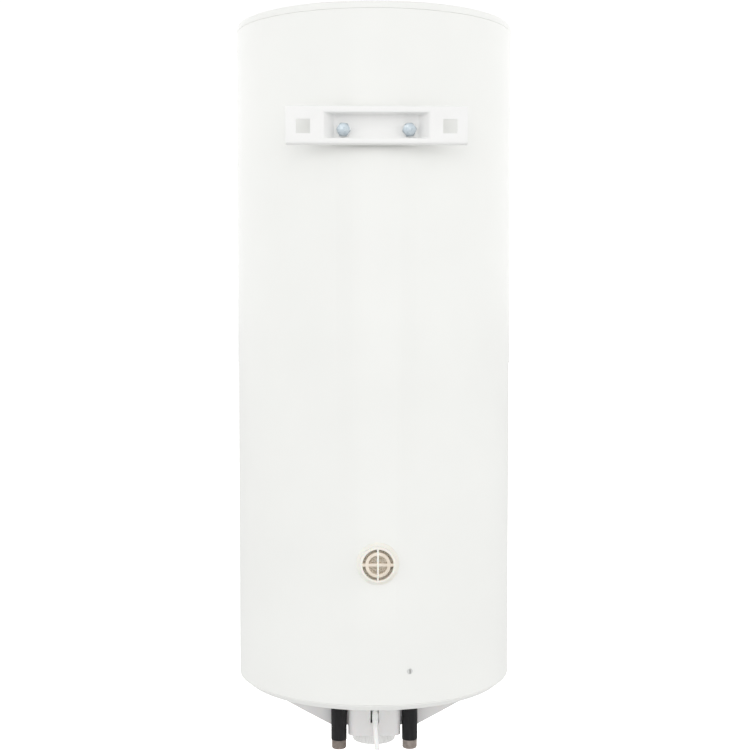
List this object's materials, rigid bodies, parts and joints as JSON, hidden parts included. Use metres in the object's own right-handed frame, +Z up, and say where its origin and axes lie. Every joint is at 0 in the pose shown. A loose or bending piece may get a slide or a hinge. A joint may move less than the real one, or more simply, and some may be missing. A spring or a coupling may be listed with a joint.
{
  "type": "tank water heater",
  "caption": "Slim wall-hung electric storage water heater with a pressed wall bracket, two water pipes, a bottom cover with a control knob and a mains lead.",
  "frame": {"origin": "on the wall plane, midway between the two hook slots of the wall bracket, at the height of their centres", "axes": "+Z up, +Y into the wall, -Y into the room, +X to the right seen from the room; the casing's axis is parallel to Z"},
  "size_m": [0.385, 0.414, 1.2174],
  "materials": {
    "casing_paint": "semi-gloss white stove enamel",
    "bracket_paint": "white powder coat",
    "zinc_steel": "bluish zinc plating",
    "boss_steel": "bare welded steel",
    "tank_enamel": "blue glass enamel over steel",
    "foam": "cellular polyurethane foam",
    "port_plastic": "moulded white polypropylene",
    "cover_plastic": "moulded white ABS",
    "knob_plastic": "moulded white ABS",
    "mark_red": "red print ink",
    "sleeve_black": "black polyamide",
    "rubber_black": "moulded rubber",
    "pipe_steel": "enamelled pipe end with light tarnish",
    "riser_plastic": "food-grade plastic",
    "flange_steel": "zinc-plated plate",
    "element_copper": "copper sheath",
    "bead_ceramic": "glazed bead with plated pin",
    "pocket_steel": "drawn stainless tube",
    "magnesium": "cast magnesium",
    "control_plastic": "thermoset moulding",
    "shaft_steel": "turned steel",
    "capillary_brass": "copper capillary and bulb",
    "cutout_plastic": "phenolic moulding",
    "button_red": "moulded red plastic",
    "lens_red": "tinted clear plastic",
    "terminal_plastic": "moulded nylon",
    "wire_brown": "PVC insulation",
    "wire_blue": "PVC insulation",
    "wire_earth": "green and yellow PVC insulation",
    "lead_white": "white PVC sheath",
    "tie_grey": "woven hook-and-loop strap",
    "plug_white": "moulded white PVC",
    "pin_nickel": "nickel-plated brass",
    "gauge_black": "moulded black plastic",
    "bezel_chrome": "chromed ring",
    "dial_white": "printed aluminium dial",
    "pointer_red": "red enamelled needle",
    "gauge_glass": "clear window"
  },
  "bodies": {
    "heater": {"tank_shell": "tank_enamel", "tank_top_dome": "tank_enamel", "tank_bottom_dome": "tank_enamel", "flange_collar": "boss_steel", "flange_gasket": "rubber_black", "flange_plate": "flange_steel", "flange_studs": "zinc_steel", "heating_element": "element_copper", "element_terminals": "bead_ceramic", "thermostat_pocket": "pocket_steel", "anode_rod": "magnesium", "anode_stud": "zinc_steel", "cold_inlet_pipe": "pipe_steel", "inlet_diffuser": "riser_plastic", "hot_outlet_pipe": "pipe_steel", "hot_riser": "riser_plastic", "pipe_sleeves": "sleeve_black", "pipe_grommets": "rubber_black", "insulation_foam": "foam", "outer_casing": "casing_paint", "top_cap": "casing_paint", "bottom_cap": "casing_paint", "bracket_bosses": "boss_steel", "wall_bracket": "bracket_paint", "bracket_bolts": "zinc_steel", "bracket_washers": "zinc_steel", "foam_port_plug": "port_plastic", "casing_screw": "zinc_steel", "bottom_cover": "cover_plastic", "cover_screws": "zinc_steel", "thermostat_body": "control_plastic", "thermostat_bulb": "capillary_brass", "thermostat_strap": "flange_steel", "safety_cutout": "cutout_plastic", "lamp_lens": "lens_red", "lamp_holder": "control_plastic", "terminal_block": "terminal_plastic", "live_wires": "wire_brown", "neutral_wires": "wire_blue", "earth_wire": "wire_earth", "earth_stud": "capillary_brass", "inner_lead": "lead_white", "cable_clamp": "terminal_plastic", "cable_relief": "lead_white", "mains_cable": "lead_white", "cable_coil": "lead_white", "cable_tail": "lead_white", "coil_tie": "tie_grey", "mains_plug": "plug_white", "plug_pins": "pin_nickel", "gauge_housing": "gauge_black", "gauge_bezel": "bezel_chrome", "gauge_dial": "dial_white", "gauge_glass": "gauge_glass", "gauge_bulb": "capillary_brass"},
    "thermostat_knob": {"control_knob": "knob_plastic", "knob_mark": "mark_red", "thermostat_shaft": "shaft_steel"},
    "needle": {"gauge_pointer": "pointer_red"},
    "reset": {"reset_button": "button_red"}
  },
  "joints": [
    {"name": "knob_turn", "type": "hinge", "parent": "heater", "child": "thermostat_knob", "pos_m": [0, -0.2145, -0.843], "axis": [0, 0, 1], "range_deg": [-135, 135]},
    {"name": "needle_turn", "type": "hinge", "parent": "heater", "child": "needle", "pos_m": [0, -0.4025, -0.608], "axis": [0, 1, 0], "range_deg": [0, 200], "stiffness_Nm_per_rad": 0.002},
    {"name": "reset_press", "type": "slide", "parent": "heater", "child": "reset", "axis": [0, 0, 1], "range_m": [0, 0.002], "stiffness_N_per_m": 400, "springref_m": -0.002}
  ]
}
